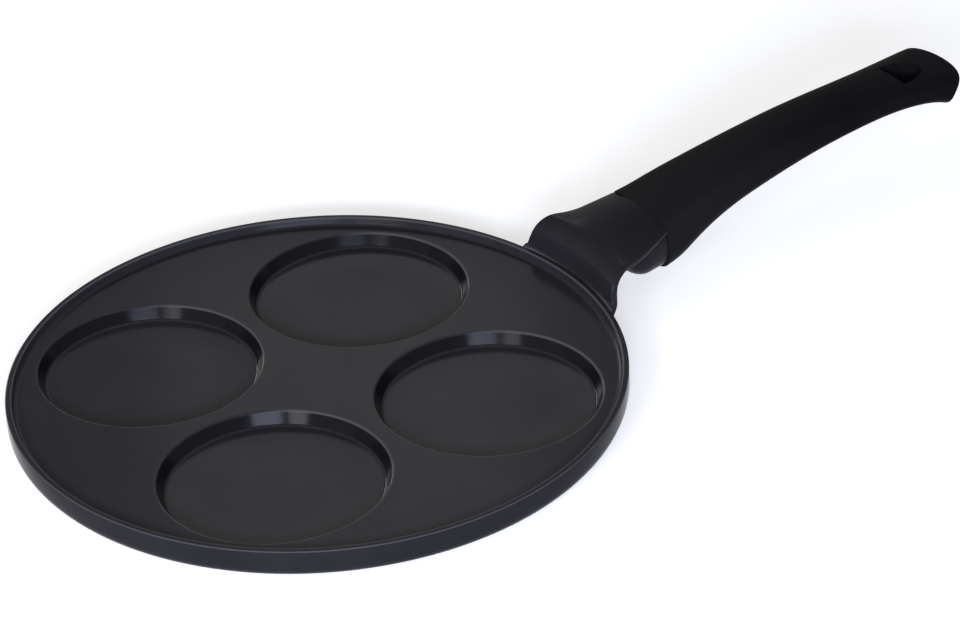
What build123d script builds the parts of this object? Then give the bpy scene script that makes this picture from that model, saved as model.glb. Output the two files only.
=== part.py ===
from build123d import *
import math
import os

# A round cast pan with four pancake wells, a broad cast neck and a moulded handle held by one tie screw.
# Millimetres. The origin is the centre of the base, +X runs along the handle and +Z points up.

# Pan plate, rim and skirt
PAN_RADIUS = 130.0
RIM_HEIGHT = 13.5
RIM_DEPTH = 3.4
RIM_LAND = 2.6
RIM_LEAN = 1.2
RIM_COVE_CHAMFER = 0.9
RIM_EDGE_CHAMFER = 0.5
SKIRT_CORNER_RADIUS = 6.0

# Wells, as large as the land around them allows
WELL_COUNT = 4
WELL_RIM_LAND = 5.8
WELL_WEB = 7.8
WELL_DEPTH = 6.0
WELL_WALL_LEAN = 2.9
WELL_LIP_CHAMFER = 0.7
WELL_FLOOR_CHAMFER = 1.0

# Handle axis, which is also the axis of the tie screw
HANDLE_TILT = 10.0
NECK_LENGTH = 36.2
SEAM_RISE = 12.0

# Neck: a bent plate that climbs from the rim to the handle and widens towards the pan
NECK_PLATE = 3.0
NECK_ROOT_DROP = 6.0
NECK_ROOT_INSET = 3.8
NECK_FOOT_STEP = 0.8
NECK_SHOULDER_STEP = 2.3
NECK_SHOULDER_RISE = 13.8
NECK_BEND_RADIUS = 11.0
NECK_FOOT_RADIUS = 5.0
NECK_HALF_WIDTH = 34.6
NECK_FLARE = 2.0
NECK_FLARE_SHARE = 0.3
NECK_CROWNING_START = 0.2
NECK_CROWNING_SHARE = 0.5
NECK_OVERRUN = 2.0
NECK_SECTIONS = 12

# Boss under the neck and tenon in front of it
BOSS_LENGTH = 16.0
BOSS_STEP = 1.3
BOSS_NOSE_RADIUS = 8.0
NOSE_SECTIONS = 5
NOSE_TURN = 75.0
TENON_LENGTH = 16.0
TENON_WIDTH = 18.0
TENON_HEIGHT = 14.0
TENON_CORNER_RADIUS = 2.0

# Handle
COLLAR_HALF_WIDTH = 20.2
COLLAR_CROWN = 12.4
COLLAR_SIDE = 5.5
COLLAR_BELLY = 19.6
COLLAR_CROWN_RISE = 3.6
COLLAR_SHOULDER_FULLNESS = 0.88
COLLAR_BELLY_FULLNESS = 0.70
HANDLE_LENGTH = 168.0
HANDLE_REACH = 166.2
TAIL_RISE = 27.0
TAIL_TOP_ROOM = 8.0
TAIL_HALF_WIDTH = 20.7
TAIL_SIDE_ROOM = 1.0
TAIL_BOW = 6.2
TAIL_CORNER_RADIUS = 2.5
TAIL_UNDERCUT = 27.0

# Grip sections between the collar and the tail: share of the length, half width, then the heights of the
# crown, side and belly from the handle axis, then how full the shoulders and the belly are
GRIP_SECTIONS = [
    (0.05, 20.1, 12.0, 4.6, -19.0, 0.88, 0.65),
    (0.10, 20.0, 12.1, 4.5, -15.6, 0.86, 0.60),
    (0.20, 18.9, 13.1, 5.0, -9.4, 0.82, 0.58),
    (0.33, 17.8, 13.7, 5.3, -6.3, 0.78, 0.56),
    (0.51, 16.8, 12.8, 5.0, -4.8, 0.74, 0.55),
    (0.66, 16.4, 10.2, 3.3, -5.4, 0.72, 0.55),
    (0.81, 17.7, 6.4, 0.6, -7.9, 0.72, 0.55),
    (0.90, 19.8, 3.4, -3.0, -11.4, 0.78, 0.56),
    (1.02, 20.7, -1.4, -7.5, -19.4, 0.86, 0.60),
]

# Hang hole
HOLE_SETBACK = 29.1
HOLE_LENGTH = 16.0
HOLE_FLAT_WIDTH = 19.5
HOLE_FULLNESS = 0.55

# Tie screw and washers
SCREW_DIAMETER = 5.0
SCREW_LENGTH = 130.0
SCREW_HEAD_DIAMETER = 8.5
SCREW_HEAD_HEIGHT = 3.3
SCREW_SLOT_WIDTH = 1.3
SCREW_SLOT_DEPTH = 1.6
SCREW_END_CHAMFER = 0.8
COUNTERBORE_DEPTH = 12.0
FLAT_WASHER_DIAMETER = 9.0
FLAT_WASHER_THICKNESS = 1.0
SPRING_WASHER_DIAMETER = 8.3
SPRING_WASHER_THICKNESS = 1.6
SPRING_WASHER_SPLIT = 1.0

# Clearances
THREAD_CLEARANCE = 0.05
SHANK_CLEARANCE = 0.3
WASHER_CLEARANCE = 0.15
SOCKET_CLEARANCE = 0.25
SOCKET_END_CLEARANCE = 1.0
TIP_CLEARANCE = 3.0

# Heights and places that follow from the sizes above
plate_height = RIM_HEIGHT - RIM_DEPTH
floor_height = plate_height - WELL_DEPTH
well_turn = math.sin(math.pi / WELL_COUNT)
wells_reach = PAN_RADIUS - RIM_LAND - RIM_LEAN - WELL_RIM_LAND
well_mouth_radius = (wells_reach * well_turn - WELL_WEB / 2) / (1 + well_turn)
well_circle_radius = wells_reach - well_mouth_radius
seam_reach = PAN_RADIUS + NECK_LENGTH
seam_height = RIM_HEIGHT + SEAM_RISE
tail_reach = seam_reach + HANDLE_REACH
tail_edge_height = seam_height + TAIL_RISE
handle_top_height = tail_edge_height + TAIL_TOP_ROOM
hole_flat_reach = tail_reach - HOLE_SETBACK
tilt = math.radians(HANDLE_TILT)
handle_axis = Plane(
    origin=(seam_reach, 0, seam_height),
    x_dir=(0, 1, 0),
    z_dir=(math.cos(tilt), 0, math.sin(tilt)),
)
hole_along = (hole_flat_reach - seam_reach) / math.cos(tilt)
seat_along = hole_along - COUNTERBORE_DEPTH
head_along = seat_along + FLAT_WASHER_THICKNESS + SPRING_WASHER_THICKNESS
tip_along = head_along - SCREW_LENGTH


def across_axis(along):
    """The plane square to the handle axis, this far past the seam, with its Y upwards."""
    return handle_axis.offset(along)


def rod(radius, start, end):
    """A cylinder on the handle axis between two distances past the seam."""
    return extrude(across_axis(start) * Circle(radius), end - start)


def tube(outer, inner, start, end):
    """A ring on the handle axis between two distances past the seam."""
    return rod(outer, start, end) - rod(inner, start, end)


def quarter(side, side_height, peak_height, fullness):
    """A quarter of a section, upright at its side point and level at its peak."""
    return Bezier(
        (side, side_height),
        (side, side_height + fullness * (peak_height - side_height)),
        (side * fullness, peak_height),
        (0, peak_height),
    )


def section(half_width, crown, side, belly, shoulder_fullness, belly_fullness):
    """A closed section with a crown above, a belly below, and its widest points at the side height."""
    return make_face(
        [
            quarter(half_width, side, crown, shoulder_fullness),
            quarter(-half_width, side, crown, shoulder_fullness),
            quarter(-half_width, side, belly, belly_fullness),
            quarter(half_width, side, belly, belly_fullness),
        ]
    )


def collar(drawn_in, crown):
    """The section at the seam, drawn in at its sides and its belly, with this crown."""
    return section(
        COLLAR_HALF_WIDTH - drawn_in,
        crown,
        COLLAR_SIDE,
        drawn_in - COLLAR_BELLY,
        COLLAR_SHOULDER_FULLNESS,
        COLLAR_BELLY_FULLNESS,
    )


def ease(share):
    """Runs from 0 to 1 with level ends, and stays there outside them."""
    held = min(max(share, 0.0), 1.0)
    return held * held * (3 - 2 * held)


def vertex_near(outline, reach, height):
    """The corner of a flat outline that lies nearest this point."""
    return outline.vertices().sort_by_distance((reach, height, 0))[0]


def make_pan():
    """The turned pan with its wells sunk into the plate."""
    rim_inside = PAN_RADIUS - RIM_LAND
    outline = make_face(
        Polyline(
            (0, 0),
            (PAN_RADIUS, 0),
            (PAN_RADIUS, RIM_HEIGHT),
            (rim_inside, RIM_HEIGHT),
            (rim_inside - RIM_LEAN, plate_height),
            (0, plate_height),
            close=True,
        )
    )
    rim_corners = outline.vertices().filter_by_position(Axis.Y, RIM_HEIGHT, RIM_HEIGHT)
    outline = chamfer(rim_corners, RIM_EDGE_CHAMFER)
    outline = chamfer(vertex_near(outline, rim_inside - RIM_LEAN, plate_height), RIM_COVE_CHAMFER)
    outline = fillet(vertex_near(outline, PAN_RADIUS, 0), SKIRT_CORNER_RADIUS)
    pan = revolve(Plane.XZ * outline, Axis.Z)
    well = make_face(
        Polyline(
            (0, floor_height),
            (well_mouth_radius - WELL_WALL_LEAN, floor_height),
            (well_mouth_radius, plate_height),
            (well_mouth_radius, RIM_HEIGHT),
            (0, RIM_HEIGHT),
            close=True,
        )
    )
    well = chamfer(vertex_near(well, well_mouth_radius - WELL_WALL_LEAN, floor_height), WELL_FLOOR_CHAMFER)
    well_tool = revolve(Plane.XZ * well, Axis.Z)
    for index in range(WELL_COUNT):
        turn = (index + 0.5) * 360 / WELL_COUNT
        pan -= Rot(0, 0, turn) * Pos(well_circle_radius, 0, 0) * well_tool
    lips = [
        edge
        for edge in pan.edges().filter_by(GeomType.CIRCLE)
        if abs(edge.radius - well_mouth_radius) < WELL_LIP_CHAMFER
        and abs(edge.center().Z - plate_height) < WELL_LIP_CHAMFER
    ]
    return chamfer(lips, WELL_LIP_CHAMFER)


def make_neck():
    """The bent plate: strips square to its top line, hollow along the rim and crowned at the handle."""
    past_seam = across_axis(NECK_OVERRUN).from_local_coords(Vector(0, COLLAR_CROWN, 0))
    top_line = FilletPolyline(
        (PAN_RADIUS - NECK_ROOT_INSET, 0, RIM_HEIGHT - NECK_ROOT_DROP),
        (PAN_RADIUS + NECK_FOOT_STEP, 0, RIM_HEIGHT),
        (PAN_RADIUS + NECK_SHOULDER_STEP, 0, RIM_HEIGHT + NECK_SHOULDER_RISE),
        (past_seam.X, 0, past_seam.Z),
        radius=[NECK_FOOT_RADIUS, NECK_BEND_RADIUS],
    )
    strips = []
    for index in range(NECK_SECTIONS):
        share = index / (NECK_SECTIONS - 1)
        flare = max(0.0, 1 - share / NECK_FLARE_SHARE) ** 2
        half = NECK_HALF_WIDTH + share * (COLLAR_HALF_WIDTH - NECK_HALF_WIDTH) + NECK_FLARE * flare
        rim_sag = PAN_RADIUS - math.sqrt(PAN_RADIUS**2 - half**2)
        crowned = ease((share - NECK_CROWNING_START) / NECK_CROWNING_SHARE)
        bow = crowned * (rim_sag + COLLAR_CROWN_RISE) - rim_sag
        square = Plane(
            origin=top_line @ share,
            x_dir=(0, 1, 0),
            z_dir=top_line % share,
        )
        strip = make_face(
            [
                ThreePointArc((-half, -bow), (0, 0), (half, -bow)),
                Line((half, -bow), (half, -bow - NECK_PLATE)),
                ThreePointArc((half, -bow - NECK_PLATE), (0, -NECK_PLATE), (-half, -bow - NECK_PLATE)),
                Line((-half, -bow - NECK_PLATE), (-half, -bow)),
            ]
        )
        strips.append(square * strip)
    overrun = extrude(across_axis(0) * Rectangle(PAN_RADIUS, PAN_RADIUS), 2 * NECK_OVERRUN)
    return loft(strips) - overrun


def make_boss():
    """The block under the neck that the handle seats on, a step smaller than the handle, with a round nose."""
    roof = COLLAR_CROWN - COLLAR_CROWN_RISE - NECK_PLATE / 2
    slices = []
    for index in range(NOSE_SECTIONS + 1):
        turn = math.radians(NOSE_TURN) * index / NOSE_SECTIONS
        drawn_in = BOSS_STEP + BOSS_NOSE_RADIUS * (1 - math.cos(turn))
        along = BOSS_NOSE_RADIUS * (1 - math.sin(turn)) - BOSS_LENGTH
        slices.append(across_axis(along) * collar(drawn_in, roof))
    nose = loft(slices)
    block = extrude(slices[0], BOSS_LENGTH - BOSS_NOSE_RADIUS, dir=tuple(handle_axis.z_dir))
    return block + nose


def tenon_block(grow, length):
    """The rectangular peg on the handle axis, or its socket when it is grown by a clearance."""
    outline = RectangleRounded(TENON_WIDTH + 2 * grow, TENON_HEIGHT + 2 * grow, TENON_CORNER_RADIUS + grow)
    return extrude(across_axis(0) * outline, length)


def tail_keeper():
    """What the bowed end leaves of the handle: a plan outline drawn down at the undercut's angle."""
    lean = math.tan(math.radians(TAIL_UNDERCUT))
    reach = tail_reach + lean * TAIL_TOP_ROOM
    side = TAIL_HALF_WIDTH + TAIL_SIDE_ROOM
    bowed_end = ThreePointArc((reach - TAIL_BOW, -side), (reach, 0), (reach - TAIL_BOW, side))
    sides = Polyline((reach - TAIL_BOW, side), (0, side), (0, -side), (reach - TAIL_BOW, -side))
    outline = make_face([bowed_end, sides])
    corners = outline.vertices().sort_by(Axis.X)[-2:]
    outline = Pos(0, 0, handle_top_height) * fillet(corners, TAIL_CORNER_RADIUS)
    return extrude(outline, handle_top_height, dir=(-lean, 0, -1))


def hang_hole():
    """The hang hole: flat towards the pan, round towards the tail, and right through."""
    half = HOLE_FLAT_WIDTH / 2
    outline = make_face(
        [
            quarter(half, 0, HOLE_LENGTH, HOLE_FULLNESS),
            quarter(-half, 0, HOLE_LENGTH, HOLE_FULLNESS),
            Line((-half, 0), (half, 0)),
        ]
    )
    return extrude(Pos(hole_flat_reach, 0, 0) * Rot(0, 0, -90) * outline, handle_top_height)


def make_handle():
    """The moulded handle: a loft along the handle axis, cut to its bowed end, hollowed and bored."""
    faces = [across_axis(0) * collar(0, COLLAR_CROWN)]
    for share, *sizes in GRIP_SECTIONS:
        faces.append(across_axis(share * HANDLE_LENGTH) * section(*sizes))
    grip = loft(faces) & tail_keeper()
    grip -= hang_hole()
    socket = tenon_block(SOCKET_CLEARANCE, TENON_LENGTH + SOCKET_END_CLEARANCE)
    shank_bore = rod(SCREW_DIAMETER / 2 + SHANK_CLEARANCE, 0, seat_along)
    counterbore = rod(FLAT_WASHER_DIAMETER / 2 + WASHER_CLEARANCE, seat_along, hole_along + HOLE_LENGTH / 2)
    return grip - socket - shank_bore - counterbore


def make_tie_screw():
    """The long screw with a slotted cheese head."""
    shank = rod(SCREW_DIAMETER / 2, tip_along, head_along)
    point = shank.edges().filter_by(GeomType.CIRCLE).sort_by(Axis.X)[0]
    shank = chamfer(point, SCREW_END_CHAMFER)
    head_top = head_along + SCREW_HEAD_HEIGHT
    slot = across_axis(head_top) * Rectangle(SCREW_HEAD_DIAMETER, SCREW_SLOT_WIDTH)
    return shank + rod(SCREW_HEAD_DIAMETER / 2, head_along, head_top) - extrude(slot, -SCREW_SLOT_DEPTH)


def make_flat_washer():
    """The plain ring on the floor of the counterbore."""
    hole = SCREW_DIAMETER / 2 + WASHER_CLEARANCE
    return tube(FLAT_WASHER_DIAMETER / 2, hole, seat_along, seat_along + FLAT_WASHER_THICKNESS)


def make_spring_washer():
    """The split ring between the flat washer and the screw's head, drawn tight."""
    hole = SCREW_DIAMETER / 2 + WASHER_CLEARANCE
    start = seat_along + FLAT_WASHER_THICKNESS
    ring = tube(SPRING_WASHER_DIAMETER / 2, hole, start, start + SPRING_WASHER_THICKNESS)
    split = Pos(0, SPRING_WASHER_DIAMETER / 2) * Rectangle(SPRING_WASHER_SPLIT, SPRING_WASHER_DIAMETER)
    return ring - extrude(across_axis(start) * split, SPRING_WASHER_THICKNESS)


pan = make_pan()
neck = make_neck()
boss = make_boss()
thread_hole = rod(SCREW_DIAMETER / 2 + THREAD_CLEARANCE, tip_along - TIP_CLEARANCE, TENON_LENGTH)
pan_casting = pan + neck + boss + tenon_block(0, TENON_LENGTH) - thread_hole

parts = {
    "pan_casting": pan_casting,
    "handle": make_handle(),
    "tie_screw": make_tie_screw(),
    "flat_washer": make_flat_washer(),
    "spring_washer": make_spring_washer(),
}
os.makedirs("parts", exist_ok=True)
for name, part in parts.items():
    export_step(part, f"parts/{name}.step")
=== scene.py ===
"""Dresses a cast pan with four pancake wells, a cast neck and a moulded handle held by a tie screw."""

import logging
import math
from dataclasses import astuple, dataclass
from enum import Enum
from functools import cached_property

import bpy
import numpy as np
from mathutils import Matrix, Vector


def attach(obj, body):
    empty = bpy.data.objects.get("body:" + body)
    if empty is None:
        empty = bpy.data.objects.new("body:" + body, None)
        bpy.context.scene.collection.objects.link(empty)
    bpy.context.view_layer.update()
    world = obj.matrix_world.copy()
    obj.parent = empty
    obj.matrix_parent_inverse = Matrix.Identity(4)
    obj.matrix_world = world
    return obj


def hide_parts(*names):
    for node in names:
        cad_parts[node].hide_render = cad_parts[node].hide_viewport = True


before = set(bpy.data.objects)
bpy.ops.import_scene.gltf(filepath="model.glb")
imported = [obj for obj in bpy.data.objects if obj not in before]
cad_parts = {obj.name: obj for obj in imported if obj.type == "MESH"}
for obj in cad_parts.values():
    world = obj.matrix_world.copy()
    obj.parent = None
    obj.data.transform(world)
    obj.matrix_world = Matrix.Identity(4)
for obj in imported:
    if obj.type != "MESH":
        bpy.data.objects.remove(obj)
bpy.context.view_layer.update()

BODY = "root"
MM = 0.001
Colour = tuple[float, float, float]
Place = tuple[float, float, float]
Span = tuple[float, float]
Number = float | np.ndarray
log = logging.getLogger("pan")


class Way(Enum):
    """What a Math node does with its numbers."""

    ADD = "ADD"
    SUBTRACT = "SUBTRACT"
    MULTIPLY = "MULTIPLY"
    DIVIDE = "DIVIDE"
    POWER = "POWER"
    MAXIMUM = "MAXIMUM"
    ABSOLUTE = "ABSOLUTE"
    SIGN = "SIGN"
    SINE = "SINE"


class Shade:
    """An output socket that can be written in sums, where each operator adds its Math node."""

    def __init__(self, nodes: "Nodes", socket: bpy.types.NodeSocket) -> None:
        """Wraps an output socket of a node tree."""
        self.nodes = nodes
        self.socket = socket

    def math(self, way: Way, first: "Shade | float", second: "Shade | float" = 0.0) -> "Shade":
        """Adds one Math node and returns its result."""
        return self.nodes.node("ShaderNodeMath", {"operation": way.value}, {0: first, 1: second})

    def __add__(self, other: "Shade | float") -> "Shade":
        """Adds."""
        return self.math(Way.ADD, self, other)

    __radd__ = __add__

    def __sub__(self, other: "Shade | float") -> "Shade":
        """Subtracts."""
        return self.math(Way.SUBTRACT, self, other)

    def __rsub__(self, other: "Shade | float") -> "Shade":
        """Subtracts the other way round."""
        return self.math(Way.SUBTRACT, other, self)

    def __mul__(self, other: "Shade | float") -> "Shade":
        """Multiplies."""
        return self.math(Way.MULTIPLY, self, other)

    __rmul__ = __mul__

    def __truediv__(self, other: "Shade | float") -> "Shade":
        """Divides."""
        return self.math(Way.DIVIDE, self, other)

    def __pow__(self, power: float) -> "Shade":
        """Raises to a power."""
        return self.math(Way.POWER, self, power)

    def __abs__(self) -> "Shade":
        """Drops the sign."""
        return self.math(Way.ABSOLUTE, self)

    def sign(self) -> "Shade":
        """1 above zero and -1 below it."""
        return self.math(Way.SIGN, self)

    def sine(self) -> "Shade":
        """The sine, of radians."""
        return self.math(Way.SINE, self)

    def ramp(self, low: float, high: float, start: float = 0.0, end: float = 1.0) -> "Shade":
        """Maps low to start and high to end, smoothly and held outside them."""
        return self.nodes.node(
            "ShaderNodeMapRange",
            {"interpolation_type": "SMOOTHSTEP"},
            {"Value": self, "From Min": low, "From Max": high, "To Min": start, "To Max": end},
        )

    def rises(self, span: Span, level: float = 0.0) -> "Shade":
        """0 before a span of millimetres, which counts from a level, and 1 past it."""
        return self.ramp((level + span[0]) * MM, (level + span[1]) * MM)

    def falls(self, span: Span, level: float = 0.0) -> "Shade":
        """1 before a span of millimetres, which counts from a level, and 0 past it."""
        return self.ramp((level + span[0]) * MM, (level + span[1]) * MM, 1.0, 0.0)

    def sibling(self, name: str) -> "Shade":
        """Another output of the same node."""
        return Shade(self.nodes, self.socket.node.outputs[name])


class Nodes:
    """The node tree of a material or of the world, and the steps that fill it."""

    def __init__(self, owner: bpy.types.Material | bpy.types.World) -> None:
        """Empties the tree.

        Args:
            owner: the material or world.
        """
        owner.use_nodes = True
        self.owner = owner
        self.tree = owner.node_tree
        self.tree.nodes.clear()

    def node(
        self,
        kind: str,
        settings: dict[str, object] | None = None,
        inputs: dict[str | int, object] | None = None,
        output: str | int = 0,
    ) -> Shade:
        """Makes any node.

        Args:
            kind: the node's type.
            settings: its properties, set first.
            inputs: values or links, by socket name or number.
            output: the socket that is returned.

        Returns:
            The chosen output.
        """
        made = self.tree.nodes.new(kind)
        for name, value in (settings or {}).items():
            setattr(made, name, value)
        for name, value in (inputs or {}).items():
            self.feed(made.inputs[name], value)
        return Shade(self, made.outputs[output])

    def feed(self, socket: bpy.types.NodeSocket, value: object) -> None:
        """Links a socket or sets its value.

        Args:
            socket: the input.
            value: a Shade, a number, or a colour of three numbers.
        """
        if isinstance(value, Shade):
            self.tree.links.new(value.socket, socket)
        elif socket.type == "RGBA" and len(value) == 3:
            socket.default_value = (*value, 1.0)
        else:
            socket.default_value = value

    def end(self, shader: Shade, kind: str = "ShaderNodeOutputMaterial") -> None:
        """Adds the output node and links a shader to it."""
        result = self.tree.nodes.new(kind)
        self.tree.links.new(shader.socket, result.inputs["Surface"])


class Surface(Nodes):
    """A material and the coordinates that its patterns read."""

    def __init__(self, name: str) -> None:
        """Makes an empty material and reads its coordinates.

        Args:
            name: the material's name.
        """
        super().__init__(bpy.data.materials.new(name))
        self.place = self.node("ShaderNodeTexCoord", output="Object")
        self.x = self.node("ShaderNodeSeparateXYZ", inputs={0: self.place})
        self.y, self.z = self.x.sibling("Y"), self.x.sibling("Z")

    @cached_property
    def reach(self) -> Shade:
        """The distance from the pan's axis."""
        return (self.x * self.x + self.y * self.y) ** 0.5

    def noise(self, size: float, detail: float = 2.0, stretch: Place = (1.0, 1.0, 1.0)) -> Shade:
        """Soft random mottling.

        Args:
            size: the size of a patch in metres.
            detail: the number of finer layers.
            stretch: how much the pattern is squeezed along X, Y and Z.

        Returns:
            A number around 0.5.
        """
        placed = self.node("ShaderNodeMapping", {}, {"Vector": self.place, "Scale": stretch})
        return self.node(
            "ShaderNodeTexNoise",
            {"noise_dimensions": "3D"},
            {"Vector": placed, "Scale": 1.0 / size, "Detail": detail, "Roughness": 0.55},
        )

    def blend(self, share: Shade | float, first: Shade | Colour, second: Shade | Colour) -> Shade:
        """Mixes two colours, from the first at a share of 0 to the second at 1."""
        inputs = {"Factor": share, 6: first, 7: second}
        return self.node("ShaderNodeMix", {"data_type": "RGBA"}, inputs, output=2)

    def grain(self, size: float, depth: float, detail: float = 2.0) -> Shade:
        """Turns noise, with its patches so wide and deep in metres, into a normal."""
        return self.node("ShaderNodeBump", {}, {"Distance": depth, "Height": self.noise(size, detail)})

    def finish(self, **sockets: object) -> bpy.types.Material:
        """Adds the shader and the output.

        Args:
            sockets: the shader's inputs, with an underscore for each space.

        Returns:
            The finished material.
        """
        inputs = {name.replace("_", " "): value for name, value in sockets.items()}
        self.end(self.node("ShaderNodeBsdfPrincipled", {}, inputs))
        return self.owner


@dataclass(frozen=True)
class SatinCoat:
    """The sprayed non-stick coat of the casting: near black, satin, with a base turned bare, and with painted
    shade and painted highlights in its colour.
    """

    pan: "Pan"
    name: str = "satin_coat"
    dark: Colour = (0.0162, 0.0158, 0.0186)
    light: Colour = (0.0188, 0.0184, 0.0213)
    cloud_size: float = 28 * MM
    cloud_span: Span = (0.35, 0.65)
    # Painted shade: the coat is painted darker over the neck's top, from this span of height up.
    neck: Colour = (0.0085, 0.0083, 0.0100)
    neck_shade_climb: Span = (22.0, 34.0)
    # Painted shade: a darker colour painted on the walls of the wells.
    wall_shade: Colour = (0.0062, 0.0060, 0.0072)
    wall_from_floor: Span = (0.3, 0.8)
    wall_to_plate: Span = (-0.7, -0.2)
    wall_to_rim: Span = (-3.0, -2.5)
    # Painted highlight: a paler colour painted along each lip of the wells and both edges of the rim.
    edge: Colour = (0.058, 0.058, 0.062)
    lip_width: Span = (0.3, 0.9)
    lip_to_plate: Span = (-0.9, -0.4)
    # The painted highlight of each lip fades out towards this side, over this span of the mouth, down to this
    # share.
    unlit_lip_side: tuple[float, float] = (-0.4618, 0.8869)
    unlit_lip_span: Span = (0.30, 0.75)
    unlit_lip_share: float = 0.1
    rim_inner: Span = (0.2, 0.7)
    rim_outer: Span = (0.1, 0.6)
    rim_from: Span = (-0.7, -0.3)
    rim_to: Span = (0.2, 0.7)
    bare_dark: Colour = (0.30, 0.30, 0.31)
    bare_light: Colour = (0.52, 0.52, 0.53)
    bare_reach: Span = (118.7, 119.0)
    bare_height: Span = (0.4, 0.5)
    bare_roughness: float = 0.34
    turning: float = 0.7
    turning_share: float = 0.35
    turning_size: float = 7 * MM
    turning_span: Span = (0.1, 0.9)
    roughness: float = 0.17
    refraction: float = 1.11
    dull_size: float = 9 * MM
    dull_swing: float = 0.05
    peel_size: float = 0.9 * MM
    peel_depth: float = 0.012 * MM

    def build(self) -> bpy.types.Material:
        """Mixes random tones, painted shade on the neck and well walls, painted highlights on each lip and
        rim edge, and the bare base.

        Returns:
            The material.
        """
        surface = Surface(self.name)
        bare = surface.reach.falls(self.bare_reach) * surface.z.falls(self.bare_height)
        cloud = surface.noise(self.cloud_size, 3.0)
        colour = surface.blend(cloud.ramp(*self.cloud_span), self.dark, self.light)
        # Painted shade over the neck's top.
        colour = surface.blend(surface.z.rises(self.neck_shade_climb), colour, self.neck)
        # Painted shade on the walls of the wells.
        colour = surface.blend(self.walls(surface), colour, self.wall_shade)
        # Painted highlights along each lip and both edges of the rim.
        colour = surface.blend(self.lip_highlight(surface) + self.rim_highlights(surface), colour, self.edge)
        rings = (surface.reach * (math.tau / (self.turning * MM))).sine() * self.turning_share
        marks = rings + surface.noise(self.turning_size)
        metal = surface.blend(marks.ramp(*self.turning_span), self.bare_dark, self.bare_light)
        roughness = self.roughness + (surface.noise(self.dull_size) - 0.5) * self.dull_swing
        return surface.finish(
            Base_Color=surface.blend(bare, colour, metal),
            Metallic=bare,
            Roughness=roughness + bare * (self.bare_roughness - self.roughness),
            IOR=self.refraction,
            Normal=surface.grain(self.peel_size, self.peel_depth, 1.0),
        )

    def walls(self, surface: Surface) -> Shade:
        """Finds the walls of the wells, where the coat's colour gets a painted shade.

        Args:
            surface: the material.

        Returns:
            1 on the walls and 0 elsewhere.
        """
        above = surface.z.rises(self.wall_from_floor, self.pan.floor_height)
        below = surface.z.falls(self.wall_to_plate, self.pan.plate_height)
        return above * below * surface.reach.falls(self.wall_to_rim, self.pan.radius)

    def lip_highlight(self, surface: Surface) -> Shade:
        """Finds the lip of each well, which gets a painted highlight apart from one side.

        Args:
            surface: the material.

        Returns:
            1 where the lip's painted highlight is full, and less elsewhere.
        """
        mouth = self.pan.well_mouth * MM
        place = self.pan.well_circle / math.sqrt(2) * MM
        across, along = (axis - axis.sign() * place for axis in (surface.x, surface.y))
        from_lip = abs((across * across + along * along) ** 0.5 - mouth)
        turned = across * self.unlit_lip_side[0] + along * self.unlit_lip_side[1]
        highlight_share = turned.ramp(self.unlit_lip_span[0] * mouth, self.unlit_lip_span[1] * mouth, 1.0, self.unlit_lip_share)
        near = from_lip.falls(self.lip_width)
        return highlight_share * near * surface.z.rises(self.lip_to_plate, self.pan.plate_height)

    def rim_highlights(self, surface: Surface) -> Shade:
        """Finds both edges of the rim's top, where the coat is sprayed thinner.

        Args:
            surface: the material.

        Returns:
            1 on the edges and 0 elsewhere.
        """
        pan = self.pan
        inner = abs(surface.reach - (pan.radius - pan.rim_land) * MM).falls(self.rim_inner)
        outer = abs(surface.reach - pan.radius * MM).falls(self.rim_outer)
        above = surface.z.rises(self.rim_from, pan.rim_height)
        return (inner + outer) * above * surface.z.falls(self.rim_to, pan.rim_height)


@dataclass(frozen=True)
class Moulding:
    """The black moulded plastic of the handle: deeper and duller than the coat, with painted light that makes
    it paler near the seam.
    """

    name: str = "moulding"
    dark: Colour = (0.0053, 0.0052, 0.0062)
    light: Colour = (0.0068, 0.0067, 0.0078)
    # Painted light: a paler colour painted on the handle near the seam, fading over this reach.
    painted_collar_light: Colour = (0.0112, 0.0112, 0.0113)
    painted_light_reach: Span = (166.0, 290.0)
    roughness: float = 0.36
    refraction: float = 1.042
    flow_size: float = 18 * MM
    flow_span: Span = (0.35, 0.65)
    flow_stretch: Place = (0.35, 1.0, 1.0)
    dull_size: float = 6 * MM
    dull_swing: float = 0.08
    grain_size: float = 0.6 * MM
    grain_depth: float = 0.006 * MM

    def build(self) -> bpy.types.Material:
        """Lays a flow along the handle and painted light, paler near the seam, over a fine grain.

        Returns:
            The material.
        """
        surface = Surface(self.name)
        flow = surface.noise(self.flow_size, 3.0, self.flow_stretch)
        colour = surface.blend(flow.ramp(*self.flow_span), self.dark, self.light)
        # Painted light, paler towards the seam.
        colour = surface.blend(surface.x.falls(self.painted_light_reach), colour, self.painted_collar_light)
        roughness = self.roughness + (surface.noise(self.dull_size) - 0.5) * self.dull_swing
        return surface.finish(
            Base_Color=colour,
            Roughness=roughness,
            IOR=self.refraction,
            Normal=surface.grain(self.grain_size, self.grain_depth, 1.0),
        )


@dataclass(frozen=True)
class PlatedSteel:
    """The plated steel of the tie screw and its washers."""

    name: str = "plated_steel"
    dark: Colour = (0.34, 0.34, 0.33)
    light: Colour = (0.52, 0.51, 0.49)
    tone_size: float = 1.5 * MM
    tone_span: Span = (0.3, 0.7)
    dull_span: Span = (0.2, 0.8)
    roughness: Span = (0.28, 0.42)
    grain_size: float = 0.25 * MM
    grain_depth: float = 0.004 * MM

    def build(self) -> bpy.types.Material:
        """Mottles the plating in tone and in gloss.

        Returns:
            The material.
        """
        surface = Surface(self.name)
        tone = surface.noise(self.tone_size, 3.0)
        colour = surface.blend(tone.ramp(*self.tone_span), self.dark, self.light)
        return surface.finish(
            Base_Color=colour,
            Metallic=1.0,
            Roughness=tone.ramp(*self.dull_span, *self.roughness),
            Normal=surface.grain(self.grain_size, self.grain_depth),
        )


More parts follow.
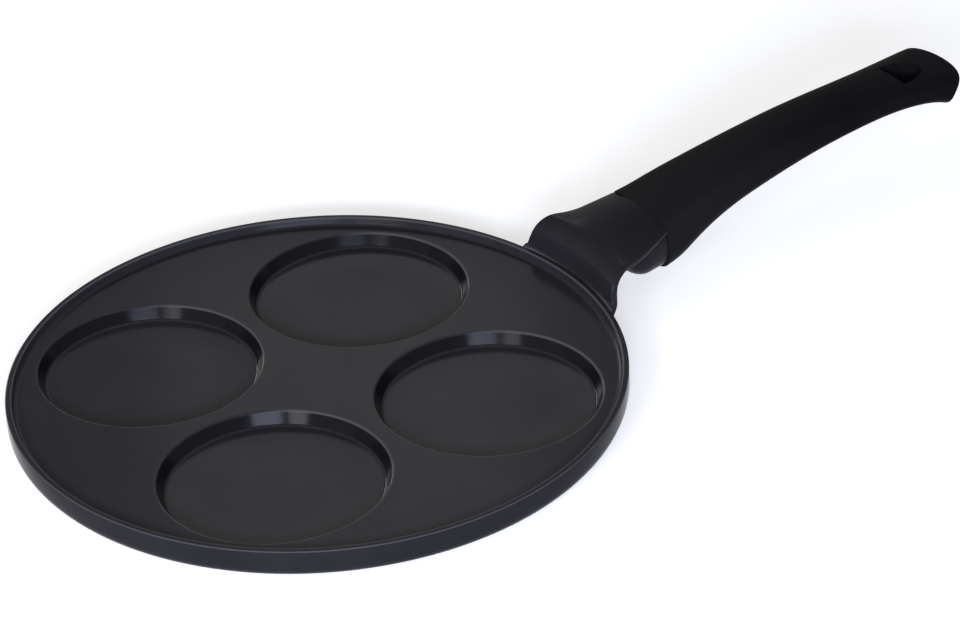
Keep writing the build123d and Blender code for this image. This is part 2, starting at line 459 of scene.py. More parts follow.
class Join(Enum):
    """How one solid meets another."""

    UNION = "UNION"
    DIFFERENCE = "DIFFERENCE"


def unit(vectors: np.ndarray) -> np.ndarray:
    """Scales vectors, in the last dimension, to a length of 1."""
    return vectors / np.linalg.norm(vectors, axis=-1, keepdims=True)


def rounded(corners: list[tuple[float, float, float]], facets: int = 6) -> np.ndarray:
    """Rounds the corners of an open outline.

    Args:
        corners: across, up and corner radius of each point, in millimetres.
        facets: the number of straight pieces of each rounding.

    Returns:
        The points of the outline, two numbers each.
    """
    points = [np.array(corners[0][:2])]
    for before, here, after in zip(corners, corners[1:], corners[2:]):
        middle = np.array(here[:2])
        back, on = (unit(np.array(point[:2]) - middle) for point in (before, after))
        half_angle = math.acos(np.clip(back @ on, -1.0, 1.0)) / 2
        if here[2] == 0.0:
            points.append(middle)
            continue
        reach = here[2] / math.tan(half_angle)
        centre = middle + unit(back + on) * here[2] / math.sin(half_angle)
        start, end = middle + back * reach - centre, middle + on * reach - centre
        sweep = math.pi - 2 * half_angle
        for share in np.linspace(0.0, 1.0, facets + 1):
            weights = math.sin((1 - share) * sweep), math.sin(share * sweep)
            points.append(centre + (weights[0] * start + weights[1] * end) / math.sin(sweep))
    points.append(np.array(corners[-1][:2]))
    return np.array(points)


def spline(places: np.ndarray, values: np.ndarray, wanted: np.ndarray) -> np.ndarray:
    """A natural cubic spline.

    Args:
        places: rising places of the known rows.
        values: the known rows.
        wanted: the places asked for.

    Returns:
        One row for each wanted place.
    """
    count = len(places)
    steps = np.diff(places)
    slopes = np.diff(values, axis=0) / steps[:, None]
    system = np.eye(count)
    right = np.zeros_like(values)
    for row in range(1, count - 1):
        system[row, row - 1 : row + 2] = steps[row - 1], 2 * (steps[row - 1] + steps[row]), steps[row]
        right[row] = 6 * (slopes[row] - slopes[row - 1])
    bends = np.linalg.solve(system, right)
    cell = np.clip(np.searchsorted(places, wanted) - 1, 0, count - 2)
    far = ((wanted - places[cell]) / steps[cell])[:, None]
    near = 1 - far
    curve = (near**3 - near) * bends[cell] + (far**3 - far) * bends[cell + 1]
    return near * values[cell] + far * values[cell + 1] + curve * (steps[cell] ** 2)[:, None] / 6


@dataclass(frozen=True)
class HandleLine:
    """The axis of the handle and its screw, which starts at the seam between neck and handle."""

    seam_reach: float = 166.2
    seam_height: float = 25.5
    tilt: float = 10.0

    @property
    def forward(self) -> np.ndarray:
        """The direction towards the tail."""
        turn = math.radians(self.tilt)
        return np.array((math.cos(turn), 0.0, math.sin(turn)))

    @property
    def upward(self) -> np.ndarray:
        """The direction square to the axis, upwards."""
        turn = math.radians(self.tilt)
        return np.array((-math.sin(turn), 0.0, math.cos(turn)))

    def place(self, along: Number, across: Number, up: Number) -> np.ndarray:
        """Turns distances from the axis into places.

        Args:
            along: past the seam, in millimetres.
            across: along Y.
            up: square to the axis.

        Returns:
            Places in millimetres, in the last dimension.
        """
        along, across, up = (np.asarray(value, dtype=float)[..., None] for value in (along, across, up))
        origin = np.array((self.seam_reach, 0.0, self.seam_height))
        return origin + along * self.forward + across * np.array((0.0, 1.0, 0.0)) + up * self.upward


@dataclass(frozen=True)
class Section:
    """A cross-section of the handle: half width, heights of crown, side and belly, and their fullness."""

    half_width: float
    crown: float
    side: float
    belly: float
    shoulder_fullness: float
    belly_fullness: float

    @staticmethod
    def quarter(half_width: float, side: float, peak: float, fullness: float, count: int) -> np.ndarray:
        """A quarter that leaves its side point upright and reaches its peak level.

        Args:
            half_width: the side point's distance from the middle.
            side: the side point's height.
            peak: the peak's height.
            fullness: how far the quarter swells into its corner.
            count: the number of points, without the peak.

        Returns:
            Points across and up.
        """
        share = (np.arange(count) / count)[:, None]
        held = [
            np.array((half_width, side)),
            np.array((half_width, side + fullness * (peak - side))),
            np.array((half_width * fullness, peak)),
            np.array((0.0, peak)),
        ]
        weights = ((1 - share) ** 3, 3 * share * (1 - share) ** 2, 3 * share**2 * (1 - share), share**3)
        return sum(weight * point for weight, point in zip(weights, held))

    def loop(self, count: int) -> np.ndarray:
        """The whole section, round from its right side over the crown.

        Args:
            count: the number of points in a quarter.

        Returns:
            Points across and up, without a repeat of the first.
        """
        over = self.quarter(self.half_width, self.side, self.crown, self.shoulder_fullness, count)
        under = self.quarter(self.half_width, self.side, self.belly, self.belly_fullness, count)
        mirror = np.array((-1.0, 1.0))
        crown = np.array([(0.0, self.crown)])
        belly = np.array([(0.0, self.belly)])
        return np.vstack([over, crown, (over * mirror)[:0:-1], under * mirror, belly, under[:0:-1]])


class Workpiece:
    """A mesh that is being modelled, with the steps at the bench that its makers share."""

    MERGED = 0.002 * MM
    ROD_FACETS = 48
    PEG_FACETS = 6

    def __init__(self, name: str) -> None:
        """Starts a piece without a mesh, under its object's name."""
        self.name = name
        self.thing: bpy.types.Object | None = None

    def take(self) -> None:
        """Takes the primitive that was just added as this piece."""
        self.thing = bpy.context.object
        self.thing.name = self.name
        bpy.ops.object.transform_apply(location=True, rotation=True, scale=True)

    def pick(self) -> None:
        """Selects this piece alone and makes it the active one."""
        bpy.ops.object.select_all(action="DESELECT")
        self.thing.select_set(True)
        bpy.context.view_layer.objects.active = self.thing

    def edit(self, on: bool) -> None:
        """Opens or closes edit mode on this piece alone."""
        if on:
            self.pick()
        bpy.ops.object.mode_set(mode="EDIT" if on else "OBJECT")

    def modify(self, kind: str, **settings: object) -> None:
        """Adds a modifier and applies it.

        Args:
            kind: the modifier's type.
            settings: its properties.
        """
        modifier = self.thing.modifiers.new(kind, kind)
        for name, value in settings.items():
            setattr(modifier, name, value)
        self.pick()
        bpy.ops.object.modifier_apply(modifier=modifier.name)

    def places(self) -> np.ndarray:
        """The vertices in millimetres."""
        flat = np.empty(len(self.thing.data.vertices) * 3)
        self.thing.data.vertices.foreach_get("co", flat)
        return flat.reshape(-1, 3) / MM

    def pick_edges(self, chosen: np.ndarray) -> None:
        """Selects edges alone and opens edit mode.

        Args:
            chosen: true for each edge to select.
        """
        mesh = self.thing.data
        self.edit(True)
        bpy.ops.mesh.select_mode(type="EDGE")
        bpy.ops.mesh.select_all(action="DESELECT")
        self.edit(False)
        mesh.edges.foreach_set("select", chosen)
        self.edit(True)

    def turn(self, outline: np.ndarray, centre: tuple[float, float], steps: int) -> None:
        """Draws an outline by extruding one vertex along it, and spins it round an upright axis.

        Args:
            outline: points of radius and height, in millimetres.
            centre: where the axis stands.
            steps: the number of facets round.
        """
        bpy.ops.mesh.primitive_plane_add(size=MM)
        self.take()
        self.edit(True)
        bpy.ops.mesh.select_all(action="SELECT")
        bpy.ops.mesh.merge(type="CENTER")
        radii, heights = outline.T
        drawn = np.column_stack([radii + centre[0], np.full(len(radii), centre[1]), heights]) * MM
        bpy.ops.transform.translate(value=drawn[0])
        for step in np.diff(drawn, axis=0):
            bpy.ops.mesh.extrude_region_move(TRANSFORM_OT_translate={"value": tuple(step)})
        bpy.ops.mesh.select_all(action="SELECT")
        bpy.ops.mesh.spin(
            steps=steps,
            angle=math.tau,
            center=(centre[0] * MM, centre[1] * MM, 0.0),
            axis=(0.0, 0.0, 1.0),
        )
        self.edit(False)
        self.close()

    def weave(self, rows: np.ndarray, closed: bool) -> None:
        """Adds a grid and moves its vertices to the given rows.

        Args:
            rows: places in millimetres, by row and then round.
            closed: whether each row runs back to its first point.
        """
        if closed:
            rows = np.concatenate([rows, rows[:, :1]], axis=1)
        bpy.ops.mesh.primitive_grid_add(x_subdivisions=rows.shape[1] - 1, y_subdivisions=rows.shape[0] - 1)
        self.take()
        self.thing.data.vertices.foreach_set("co", (rows * MM).ravel())
        self.thing.data.update()
        if closed:
            self.close()

    def close(self, capped: bool = False) -> None:
        """Merges doubled vertices and turns the faces outwards.

        Args:
            capped: whether each open end gets a face of its own first.
        """
        self.edit(True)
        bpy.ops.mesh.select_all(action="SELECT")
        bpy.ops.mesh.remove_doubles(threshold=self.MERGED)
        if capped:
            bpy.ops.mesh.fill_holes(sides=0)
        bpy.ops.mesh.normals_make_consistent(inside=False)
        self.edit(False)

    def rod(self, line: HandleLine, radius: float, start: float, end: float) -> "Workpiece":
        """Adds a cylinder on the handle axis.

        Args:
            line: the axis.
            radius: in millimetres.
            start: where it begins past the seam.
            end: where it ends.

        Returns:
            This piece.
        """
        bpy.ops.mesh.primitive_cylinder_add(
            vertices=self.ROD_FACETS,
            radius=radius * MM,
            depth=(end - start) * MM,
            location=line.place((start + end) / 2, 0.0, 0.0) * MM,
            rotation=(0.0, math.radians(90.0 - line.tilt), 0.0),
        )
        self.take()
        return self

    def peg(
        self, line: HandleLine, width: float, height: float, corner: float, length: float
    ) -> "Workpiece":
        """Adds a rectangular peg on the handle axis with rounded long edges.

        Args:
            line: the axis.
            width: in millimetres, across.
            height: square to the axis.
            corner: the radius of its long edges.
            length: past the seam.

        Returns:
            This piece.
        """
        start = -corner
        bpy.ops.mesh.primitive_cube_add(
            size=MM,
            location=line.place((start + length) / 2, 0.0, 0.0) * MM,
            rotation=(0.0, -math.radians(line.tilt), 0.0),
            scale=(length - start, width, height),
        )
        self.take()
        places = self.places()
        ends = np.array([edge.vertices[:] for edge in self.thing.data.edges])
        runs = np.abs((places[ends[:, 1]] - places[ends[:, 0]]) @ line.forward)
        self.pick_edges(runs > (length - start) / 2)
        bpy.ops.mesh.bevel(offset=corner * MM, segments=self.PEG_FACETS, affect="EDGES")
        self.edit(False)
        return self

    def combine(self, other: "Workpiece", way: Join) -> None:
        """Joins another piece to this one or cuts it away, and drops it.

        Args:
            other: the other piece.
            way: which of the two.
        """
        self.modify("BOOLEAN", operation=way.value, solver="EXACT", object=other.thing)
        bpy.data.objects.remove(other.thing)

    def finish(self, node: str, slot: str, material: bpy.types.Material, angle: float = 32.0) -> None:
        """Smooths the piece, dresses it and puts it in the place of a node.

        Args:
            node: the node that it replaces.
            slot: the record's material slot; not used.
            material: the finish.
            angle: the sharpest angle that is still smoothed, in degrees.
        """
        self.pick()
        bpy.ops.object.shade_smooth_by_angle(angle=math.radians(angle))
        self.thing.data.materials.clear()
        self.thing.data.materials.append(material)
        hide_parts(node)
        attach(self.thing, BODY)
        log.info("%s: %d faces", self.name, len(self.thing.data.polygons))


@dataclass
class Pan:
    """The turned pan: ringed base, skirt, raised rim, and a plate with four wells."""

    radius: float = 130.0
    rim_height: float = 13.5
    rim_depth: float = 3.4
    rim_land: float = 2.6
    rim_lean: float = 1.2
    rim_rounding: float = 0.7
    cove: float = 1.4
    skirt_corner: float = 6.0
    wells: int = 4
    well_circle: float = 72.81
    well_mouth: float = 47.59
    well_depth: float = 6.0
    well_lean: float = 2.9
    lip_rounding: float = 0.9
    floor_cove: float = 1.6
    ring_first: float = 14.0
    ring_last: float = 112.0
    ring_pitch: float = 4.0
    ring_depth: float = 0.25
    ring_profile: tuple[tuple[float, float], ...] = ((0.4, 0.0), (0.6, 1.0), (0.8, 1.0), (1.0, 0.0))
    guard: float = 0.4
    steps: int = 240
    well_steps: int = 120

    @property
    def plate_height(self) -> float:
        """The height of the plate."""
        return self.rim_height - self.rim_depth

    @property
    def floor_height(self) -> float:
        """The height of the floors of the wells."""
        return self.plate_height - self.well_depth

    def build(self) -> Workpiece:
        """Turns the body and the wells, and fills the plate between them.

        Returns:
            The pan as one closed shell.
        """
        body = Workpiece("pan")
        body.turn(self.body_outline(), (0.0, 0.0), self.steps)
        wells = [self.build_well(index) for index in range(self.wells)]
        body.pick()
        for well in wells:
            well.thing.select_set(True)
        bpy.ops.object.join()
        body.edit(True)
        bpy.ops.mesh.select_mode(type="EDGE")
        bpy.ops.mesh.select_all(action="DESELECT")
        bpy.ops.mesh.select_non_manifold(
            use_wire=False, use_multi_face=False, use_non_contiguous=False, use_verts=False
        )
        bpy.ops.mesh.fill(use_beauty=True)
        body.edit(False)
        body.close()
        return body

    def body_outline(self) -> np.ndarray:
        """Draws from the middle of the base, round the skirt and rim, to the edge of the plate.

        Returns:
            Points of radius and height.
        """
        corners = [(0.0, 0.0, 0.0), (self.ring_first, 0.0, 0.0)]
        for start in np.arange(self.ring_first, self.ring_last - self.ring_pitch / 2, self.ring_pitch):
            for share, depth in self.ring_profile:
                corners.append((start + share * self.ring_pitch, depth * self.ring_depth, 0.0))
        inside = self.radius - self.rim_land
        corners += [
            (self.radius, 0.0, self.skirt_corner),
            (self.radius, self.rim_height, self.rim_rounding),
            (inside, self.rim_height, self.rim_rounding),
            (inside - self.rim_lean, self.plate_height, self.cove),
            (inside - self.rim_lean - self.cove - 2 * self.guard, self.plate_height, 0.0),
        ]
        outline = rounded(corners)
        return np.vstack([outline[:-1], outline[-2] - (self.guard, 0.0)])

    def build_well(self, index: int) -> Workpiece:
        """Turns one well, from a narrow ring of the plate round its mouth to the middle of its floor.

        Args:
            index: which of the wells.

        Returns:
            The open well.
        """
        floor = self.floor_height
        outline = rounded(
            [
                (self.well_mouth + self.lip_rounding + self.guard, self.plate_height, 0.0),
                (self.well_mouth, self.plate_height, self.lip_rounding),
                (self.well_mouth - self.well_lean, floor, self.floor_cove),
                (self.well_mouth / 2, floor, 0.0),
                (0.0, floor, 0.0),
            ]
        )
        turn = (index + 0.5) * math.tau / self.wells
        centre = (self.well_circle * math.cos(turn), self.well_circle * math.sin(turn))
        well = Workpiece("well")
        well.turn(outline, centre, self.well_steps)
        return well


@dataclass
class Neck:
    """The bent plate from the rim to the handle, hollow along the rim and crowned at the seam."""

    line: HandleLine
    seam: Section
    pan: Pan
    thickness: float = 3.0
    edge_rounding: float = 0.9
    edge_facets: int = 4
    edge_angle: float = 60.0
    foot: tuple[float, float] = (3.8, 6.0)
    step: float = 0.8
    shoulder: tuple[float, float] = (2.3, 13.8)
    bend_radius: float = 11.0
    foot_radius: float = 5.0
    bend_facets: int = 40
    half_width: float = 34.6
    crown_rise: float = 3.6
    flare: float = 0.6
    flare_share: float = 0.3
    crowning_start: float = 0.2
    crowning_share: float = 0.5
    overrun: float = 2.0
    slope_step: float = 0.3
    rows: int = 56
    columns: int = 41

    def build(self) -> Workpiece:
        """Weaves the top face, gives it its thickness and rounded edges, and cuts it at the seam.

        Returns:
            The closed neck.
        """
        neck = Workpiece("neck")
        neck.weave(self.top_rows(), closed=False)
        neck.modify("SOLIDIFY", thickness=self.thickness * MM, offset=-1.0)
        neck.modify(
            "BEVEL",
            width=self.edge_rounding * MM,
            segments=self.edge_facets,
            limit_method="ANGLE",
            angle_limit=math.radians(self.edge_angle),
        )
        neck.edit(True)
        bpy.ops.mesh.select_all(action="SELECT")
        bpy.ops.mesh.bisect(
            plane_co=self.line.place(0.0, 0.0, 0.0) * MM,
            plane_no=self.line.forward,
            use_fill=True,
            clear_outer=True,
        )
        bpy.ops.mesh.select_all(action="SELECT")
        bpy.ops.mesh.normals_make_consistent(inside=False)
        neck.edit(False)
        return neck

    def top_line(self) -> np.ndarray:
        """Draws the middle of the top face, from inside the rim to past the seam.

        Returns:
            Points of reach and height.
        """
        past = self.line.place(self.overrun, 0.0, self.seam.crown)
        radius, top = self.pan.radius, self.pan.rim_height
        return rounded(
            [
                (radius - self.foot[0], top - self.foot[1], 0.0),
                (radius + self.step, top, self.foot_radius),
                (radius + self.shoulder[0], top + self.shoulder[1], self.bend_radius),
                (past[0], past[2], 0.0),
            ],
            facets=self.bend_facets,
        )

    def top_rows(self) -> np.ndarray:
        """Bends the top face along the rim and crowns it towards the seam.

        Returns:
            Its places, row by row towards the seam.
        """
        line = self.top_line()
        lengths = np.concatenate([[0.0], np.cumsum(np.linalg.norm(np.diff(line, axis=0), axis=1))])
        rows = []
        for share in np.linspace(0.0, 1.0, self.rows):
            here = share * lengths[-1]
            stops = np.clip([here - self.slope_step, here, here + self.slope_step], 0.0, lengths[-1])
            before, middle, after = np.column_stack([np.interp(stops, lengths, axis) for axis in line.T])
            ahead = unit(after - before)
            half = self.half_width + share * (self.seam.half_width - self.half_width)
            half += self.flare * max(0.0, 1 - share / self.flare_share) ** 2
            sag = self.pan.radius - math.sqrt(self.pan.radius**2 - half**2)
            held = min(max((share - self.crowning_start) / self.crowning_share, 0.0), 1.0)
            bow = held * held * (3 - 2 * held) * (sag + self.crown_rise) - sag
            across = np.linspace(half, -half, self.columns)
            drop = bow * (across / half) ** 2
            rows.append(np.column_stack([middle[0] + ahead[1] * drop, across, middle[1] - ahead[0] * drop]))
        return np.array(rows)


@dataclass
class Boss:
    """The block under the neck that the handle seats on, with a round nose, a tenon and a threaded hole."""

    line: HandleLine
    seam: Section
    neck: Neck
    length: float = 16.0
    step: float = 1.3
    nose_radius: float = 8.0
    nose_turn: float = 75.0
    nose_rows: int = 10
    tenon_width: float = 18.0
    tenon_height: float = 14.0
    tenon_corner: float = 2.0
    tenon_length: float = 16.0
    thread_radius: float = 2.55
    thread_depth: float = 14.4
    quarter_points: int = 20

    def build(self) -> Workpiece:
        """Weaves the block from its nose to the seam and joins the tenon.

        Returns:
            The closed boss.
        """
        rows = [self.row(turn) for turn in np.linspace(math.radians(self.nose_turn), 0.0, self.nose_rows + 1)]
        rows.append(rows[-1] + self.line.forward * (self.length - self.nose_radius))
        boss = Workpiece("boss")
        boss.weave(np.array(rows), closed=True)
        boss.close(capped=True)
        tenon = Workpiece("tenon")
        tenon.peg(self.line, self.tenon_width, self.tenon_height, self.tenon_corner, self.tenon_length)
        boss.combine(tenon, Join.UNION)
        return boss

    def row(self, turn: float) -> np.ndarray:
        """One section of the nose.

        Args:
            turn: how far round the nose, in radians from its root.

        Returns:
            Places in millimetres.
        """
        drawn_in = self.step + self.nose_radius * (1 - math.cos(turn))
        drawn = Section(
            self.seam.half_width - drawn_in,
            self.seam.crown - self.neck.crown_rise - self.neck.thickness / 2,
            self.seam.side,
            self.seam.belly + drawn_in,
            self.seam.shoulder_fullness,
            self.seam.belly_fullness,
        ).loop(self.quarter_points)
        along = self.nose_radius * (1 - math.sin(turn)) - self.length
        return self.line.place(along, drawn[:, 0], drawn[:, 1])

    def thread_hole(self) -> Workpiece:
        """The hole for the screw's thread, from the tenon's end."""
        end = self.tenon_length + self.tenon_corner
        return Workpiece("thread_hole").rod(self.line, self.thread_radius, -self.thread_depth, end)


@dataclass
class Casting:
    """The pan, neck, boss and tenon as one casting."""

    pan: Pan
    neck: Neck
    boss: Boss

    def build(self, material: bpy.types.Material) -> None:
        """Builds the four and joins them.

        Args:
            material: the coat.
        """
        casting = self.pan.build()
        casting.name = "casting"
        casting.thing.name = casting.name
        casting.combine(self.neck.build(), Join.UNION)
        casting.combine(self.boss.build(), Join.UNION)
        casting.combine(self.boss.thread_hole(), Join.DIFFERENCE)
        casting.finish("pan_casting", "nonstick_coat", material)


@dataclass
class Handle:
    """The moulded handle: its sections from the seam to the tail, the bowed end, the hole and the bores."""

    line: HandleLine
    seam: Section
    boss: Boss
    length: float = 168.0
    tail_reach: float = 332.25
    tail_edge_height: float = 52.5
    tail_side: float = 21.7
    tail_bow: float = 6.2
    tail_corner: float = 1.0
    tail_undercut: float = 27.0
    seam_rounding: float = 0.5
    tail_rounding: float = 0.4
    hole_reach: float = 303.3
    hole_length: float = 16.0
    hole_half_width: float = 9.75
    hole_fullness: float = 0.55
    hole_cut: tuple[float, float] = (10.0, 70.0)
    hole_points: int = 24
    hole_flat_points: int = 7
    socket_gap: float = 0.25
    socket_room: float = 1.0
    seat: float = 127.2
    shank_radius: float = 2.8
    shank_start: float = 10.0
    shank_overlap: float = 1.0
    counterbore_radius: float = 4.65
    counterbore_run: float = 20.0
    quarter_points: int = 26
    rows: int = 72
    edge_rows: int = 6
    face_shares: tuple[float, ...] = (0.06, 0.25, 0.5, 0.75, 1.0)
    skin_end: float = 1.05
    skin_steps: int = 421
    table: tuple[tuple[float, ...], ...] = (
        (0.05, 20.1, 11.4, 4.4, -19.0, 0.86, 0.65),
        (0.10, 20.0, 11.9, 4.5, -15.6, 0.85, 0.60),
        (0.20, 18.9, 13.1, 5.0, -9.4, 0.82, 0.58),
        (0.33, 17.8, 13.7, 5.3, -6.3, 0.78, 0.56),
        (0.51, 16.8, 12.8, 5.0, -4.8, 0.74, 0.55),
        (0.66, 16.4, 10.2, 3.3, -5.4, 0.72, 0.55),
        (0.81, 17.7, 6.1, 0.6, -7.9, 0.69, 0.55),
        (0.90, 19.8, 3.2, -3.0, -11.4, 0.77, 0.60),
        (0.96, 20.5, 1.2, -5.4, -17.0, 0.88, 0.74),
        (1.02, 20.8, -1.0, -7.2, -26.0, 0.95, 0.82),
    )

    def build(self, material: bpy.types.Material) -> None:
        """Weaves the skin and its two ends, then cuts the hole, the socket and the bores.

        Args:
            material: the moulding's finish.
        """
        handle = Workpiece("grip")
        handle.weave(self.all_rows(), closed=True)
        hole = Workpiece("hang_hole")
        hole.weave(self.hole_rows(), closed=True)
        hole.close(capped=True)
        shank = Workpiece("shank_bore").rod(
            self.line, self.shank_radius, self.shank_start, self.seat + self.shank_overlap
        )
        counterbore = Workpiece("counterbore").rod(
            self.line, self.counterbore_radius, self.seat, self.seat + self.counterbore_run
        )
        for cutter in (hole, self.socket(), shank, counterbore):
            handle.combine(cutter, Join.DIFFERENCE)
        handle.finish("handle", "handle_moulding", material)

    def socket(self) -> Workpiece:
        """Makes the room for the tenon, with a gap all round.

        Returns:
            The cutter.
        """
        boss, gap = self.boss, self.socket_gap
        width, height = boss.tenon_width + 2 * gap, boss.tenon_height + 2 * gap
        depth = boss.tenon_length + self.socket_room
        return Workpiece("socket").peg(self.line, width, height, boss.tenon_corner + gap, depth)

    def skin(self) -> tuple[np.ndarray, np.ndarray]:
        """The skin before its end is cut, in fine steps.

        Returns:
            The steps as shares of the length, and the places by step and round.
        """
        known = np.array([(0.0, *astuple(self.seam)), *self.table])
        shares = np.linspace(0.0, self.skin_end, self.skin_steps)
        sizes = spline(known[:, 0], known[:, 1:], shares)
        places = []
        for share, row in zip(shares, sizes):
            loop = Section(*row).loop(self.quarter_points)
            places.append(self.line.place(share * self.length, loop[:, 0], loop[:, 1]))
        return shares, np.array(places)

    def end_reach(self, across: np.ndarray, height: np.ndarray) -> np.ndarray:
        """Where the bowed end stands: an arc in plan with rounded corners, leaning under.

        Args:
            across: places along Y.
            height: heights.

        Returns:
            The reach of the end there.
        """
        radius = (self.tail_side**2 + self.tail_bow**2) / (2 * self.tail_bow)
        inner = self.tail_side - self.tail_corner
        corner_back = math.sqrt((radius - self.tail_corner) ** 2 - inner**2) - radius
        off = np.minimum(np.abs(across), self.tail_side)
        bowed = np.sqrt(radius**2 - off**2) - radius
        past = np.clip(off - inner, 0.0, self.tail_corner)
        corner = corner_back + np.sqrt(self.tail_corner**2 - past**2)
        start = inner * radius / (radius - self.tail_corner)
        lean = math.tan(math.radians(self.tail_undercut))
        curve = np.where(off > start, corner, bowed)
        return self.tail_reach + curve + lean * (height - self.tail_edge_height)

    def all_rows(self) -> np.ndarray:
        """Cuts the skin to its bowed end and closes both ends.

        Returns:
            Rows from the middle of the seam face over the skin to the middle of the end.
        """
        shares, places = self.skin()
        ends = []
        for index in range(places.shape[1]):
            lane = places[:, index]
            past = lane[:, 0] - self.end_reach(lane[:, 1], lane[:, 2])
            half = len(shares) // 2
            ends.append(np.interp(0.0, past[half:], shares[half:]))
        ends = np.array(ends)
        rows = [self.on_skin(shares, places, share * ends) for share in np.linspace(0.0, 1.0, self.rows)]
        rows = np.array(rows)
        seam_cap = self.cap_rows(rows[0], rows[1], self.seam_rounding, bowed=False)
        tail_cap = self.cap_rows(rows[-1], rows[-2], self.tail_rounding, bowed=True)
        return np.concatenate([seam_cap[::-1], rows[1:-1], tail_cap])

    @staticmethod
    def on_skin(shares: np.ndarray, places: np.ndarray, wanted: np.ndarray) -> np.ndarray:
        """The skin's places at one share for each lane.

        Args:
            shares: the skin's steps.
            places: its places.
            wanted: the share in each lane.

        Returns:
            One place for each lane.
        """
        lanes = [
            [np.interp(share, shares, places[:, lane, axis]) for axis in range(3)]
            for lane, share in enumerate(wanted)
        ]
        return np.array(lanes)

    def cap_rows(self, edge: np.ndarray, before: np.ndarray, rounding: float, bowed: bool) -> np.ndarray:
        """An end face with a rounded edge, from the skin to its middle.

        Args:
            edge: the sharp edge.
            before: the skin's row next to it.
            rounding: the radius of the edge.
            bowed: whether the face is the bowed tail, rather than the flat seam.

        Returns:
            The rows, which start at the skin.
        """
        middle = (edge.max(axis=0) + edge.min(axis=0)) / 2
        back, inward = unit(before - edge) * rounding, unit(middle - edge) * rounding
        turns = np.linspace(0.0, 1.0, self.edge_rows)
        rows = [edge + (1 - share) ** 2 * back + share**2 * inward for share in turns]
        start = rows[-1]
        rows = np.array(rows + [start + share * (middle - start) for share in self.face_shares])
        if bowed:
            face = rows[self.edge_rows - 1 :]
            face[:, :, 0] = self.end_reach(face[:, :, 1], face[:, :, 2])
        return rows

    def hole_rows(self) -> np.ndarray:
        """Draws the hang hole's outline below and above the handle.

        Returns:
            The two rows.
        """
        width, length = self.hole_half_width, self.hole_length
        half = Section.quarter(width, 0.0, length, self.hole_fullness, self.hole_points)
        other = half[::-1] * np.array((-1.0, 1.0))
        flat = np.linspace(-width, width, self.hole_flat_points + 2)[1:-1]
        straight = np.column_stack([flat, np.zeros_like(flat)])
        across, along = np.vstack([half, [(0.0, length)], other, straight]).T
        along = along + self.hole_reach
        return np.array([np.column_stack([along, across, np.full(len(along), z)]) for z in self.hole_cut])


@dataclass
class Fastening:
    """The tie screw and its washers, whose solids are right as they are."""

    nodes: tuple[str, ...] = ("tie_screw", "flat_washer", "spring_washer")

    def dress(self, material: bpy.types.Material) -> None:
        """Gives them their finish.

        Args:
            material: the plated steel.
        """
        for name in self.nodes:
            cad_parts[name].material_slots[0].material = material
            log.info("%s: dressed", name)


@dataclass(frozen=True)
class Lamp:
    """A rectangular soft box that looks at a point of the object."""

    name: str
    place: Place
    aim: Place
    width: float
    height: float
    power: float
    colour: Colour = (1.0, 1.0, 1.0)

    def build(self) -> bpy.types.Object:
        """Makes the lamp and turns it to its aim.

        Returns:
            The lamp.
        """
        data = bpy.data.lights.new(self.name, "AREA")
        data.shape = "RECTANGLE"
        data.size = self.width
        data.size_y = self.height
        data.energy = self.power
        data.color = self.colour
        lamp = bpy.data.objects.new(self.name, data)
        bpy.context.scene.collection.objects.link(lamp)
        lamp.location = self.place
        lamp.rotation_euler = (Vector(self.aim) - Vector(self.place)).to_track_quat("-Z", "Y").to_euler()
        return lamp


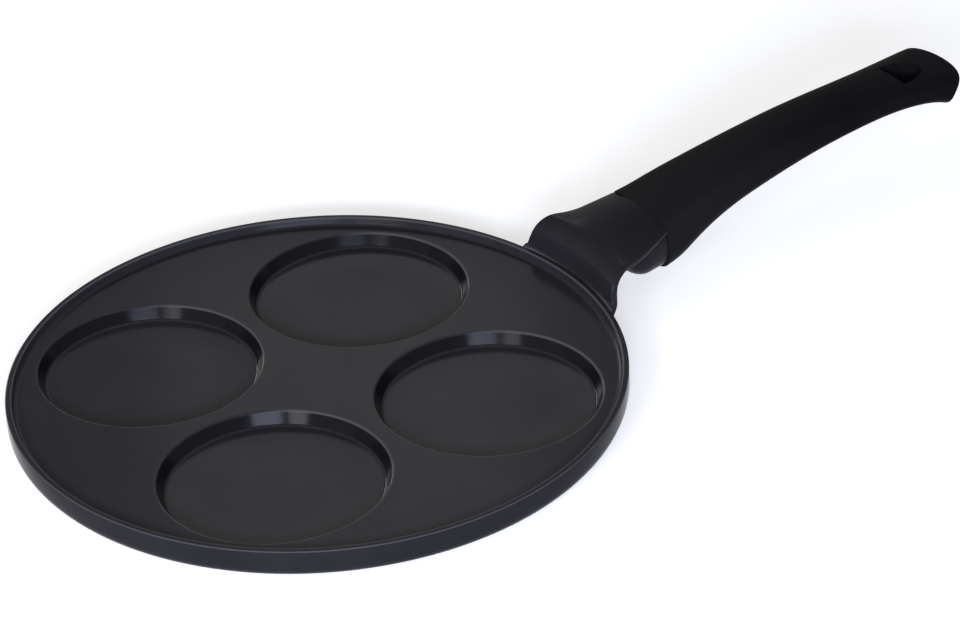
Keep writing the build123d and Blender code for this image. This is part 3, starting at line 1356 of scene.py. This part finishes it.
@dataclass
class Studio:
    """The pale floor, the plain soft light and the white surroundings."""

    floor_size: float = 60.0
    floor_tone: Span = (0.80, 0.82)
    floor_patch: float = 1.3
    floor_span: Span = (0.3, 0.7)
    floor_lift: float = 0.50
    ambient: float = 0.25

    def build(self) -> None:
        """Makes the floor, the world and the lamps."""
        self.build_floor()
        self.build_world()
        for lamp in self.lamps():
            lamp.build()

    @staticmethod
    def lamps() -> list[Lamp]:
        """The lamps."""
        return [
            Lamp("key", (-1.634, 0.071, 0.907), (0.0, 0.0, 0.0), 1.4, 1.4, 7.0),
            Lamp("window", (-0.820, -1.653, 0.740), (0.0, 0.0, 0.0), 0.9, 0.3, 41.0, (0.72, 0.78, 1.0)),
            Lamp("second window", (-1.640, -1.140, 0.780), (0.0, 0.0, 0.0), 0.6, 0.3, 19.0),
            Lamp("back", (0.609, 1.049, 0.848), (0.0, 0.0, 0.0), 0.3, 0.3, 0.5),
            Lamp("low back", (0.068, 1.563, 0.333), (0.0, 0.0, 0.0), 0.4, 0.3, 3.2),
        ]

    def build_floor(self) -> None:
        """Makes the floor, which the camera sees as near white with the object's soft shadow."""
        bpy.ops.mesh.primitive_plane_add(size=self.floor_size)
        floor = bpy.context.object
        floor.name = "floor"
        surface = Surface("floor")
        camera_ray = surface.node("ShaderNodeLightPath")
        seen = camera_ray + camera_ray.sibling("Is Glossy Ray")
        tone = surface.noise(self.floor_patch, 1.0).ramp(*self.floor_span, *self.floor_tone)
        grey = surface.node("ShaderNodeCombineColor", {}, {0: tone, 1: tone, 2: tone})
        matte = surface.node("ShaderNodeBsdfDiffuse", {}, {"Color": grey})
        glow = surface.node(
            "ShaderNodeEmission", {}, {"Color": (1.0, 1.0, 1.0), "Strength": seen * self.floor_lift}
        )
        surface.end(surface.node("ShaderNodeAddShader", {}, {0: matte, 1: glow}))
        floor.data.materials.append(surface.owner)

    def build_world(self) -> None:
        """Makes surroundings that are white to the camera and in reflections, and dimmer as a lamp."""
        world = bpy.data.worlds.new("surroundings")
        bpy.context.scene.world = world
        nodes = Nodes(world)
        camera_ray = nodes.node("ShaderNodeLightPath")
        seen = camera_ray
        for name in ("Is Glossy Ray", "Is Transmission Ray"):
            seen = seen.math(Way.MAXIMUM, seen, camera_ray.sibling(name))
        level = nodes.node("ShaderNodeMapRange", {}, {"Value": seen, "To Min": self.ambient})
        sky = nodes.node("ShaderNodeBackground", {}, {"Color": (1.0, 1.0, 1.0), "Strength": level})
        nodes.end(sky, "ShaderNodeOutputWorld")


@dataclass
class Viewpoint:
    """The photograph's camera, found from the rim, the plate, the wells and the outline."""

    place: Place = (-0.62523, -1.14169, 0.83770)
    elevation: float = 31.648
    azimuth: float = -32.492
    roll: float = -2.308
    lens: float = 138.28
    sensor: float = 36.0
    shift: tuple[float, float] = (-0.04324, -0.00570)

    def build(self) -> None:
        """Makes the camera and hands it to the scene."""
        data = bpy.data.cameras.new("viewpoint")
        data.sensor_width = self.sensor
        data.lens = self.lens
        data.shift_x, data.shift_y = self.shift
        camera = bpy.data.objects.new("viewpoint", data)
        bpy.context.scene.collection.objects.link(camera)
        turn = Matrix.Rotation(math.radians(self.azimuth), 4, "Z")
        tip = Matrix.Rotation(math.radians(90.0 - self.elevation), 4, "X")
        roll = Matrix.Rotation(math.radians(self.roll), 4, "Z")
        camera.matrix_world = Matrix.Translation(self.place) @ turn @ tip @ roll
        bpy.context.scene.camera = camera


def main() -> None:
    """Builds the camera, the studio and the dressed pieces, in that order."""
    logging.basicConfig(level=logging.INFO, format="%(message)s")
    scene = bpy.context.scene
    scene.view_settings.view_transform = "Standard"
    Viewpoint().build()
    Studio().build()
    line = HandleLine()
    seam = Section(
        half_width=20.2, crown=11.3, side=5.0, belly=-19.8, shoulder_fullness=0.86, belly_fullness=0.70
    )
    pan = Pan()
    neck = Neck(line, seam, pan)
    boss = Boss(line, seam, neck)
    Casting(pan, neck, boss).build(SatinCoat(pan).build())
    Handle(line, seam, boss).build(Moulding().build())
    Fastening().dress(PlatedSteel().build())


if __name__ == "__main__":
    main()
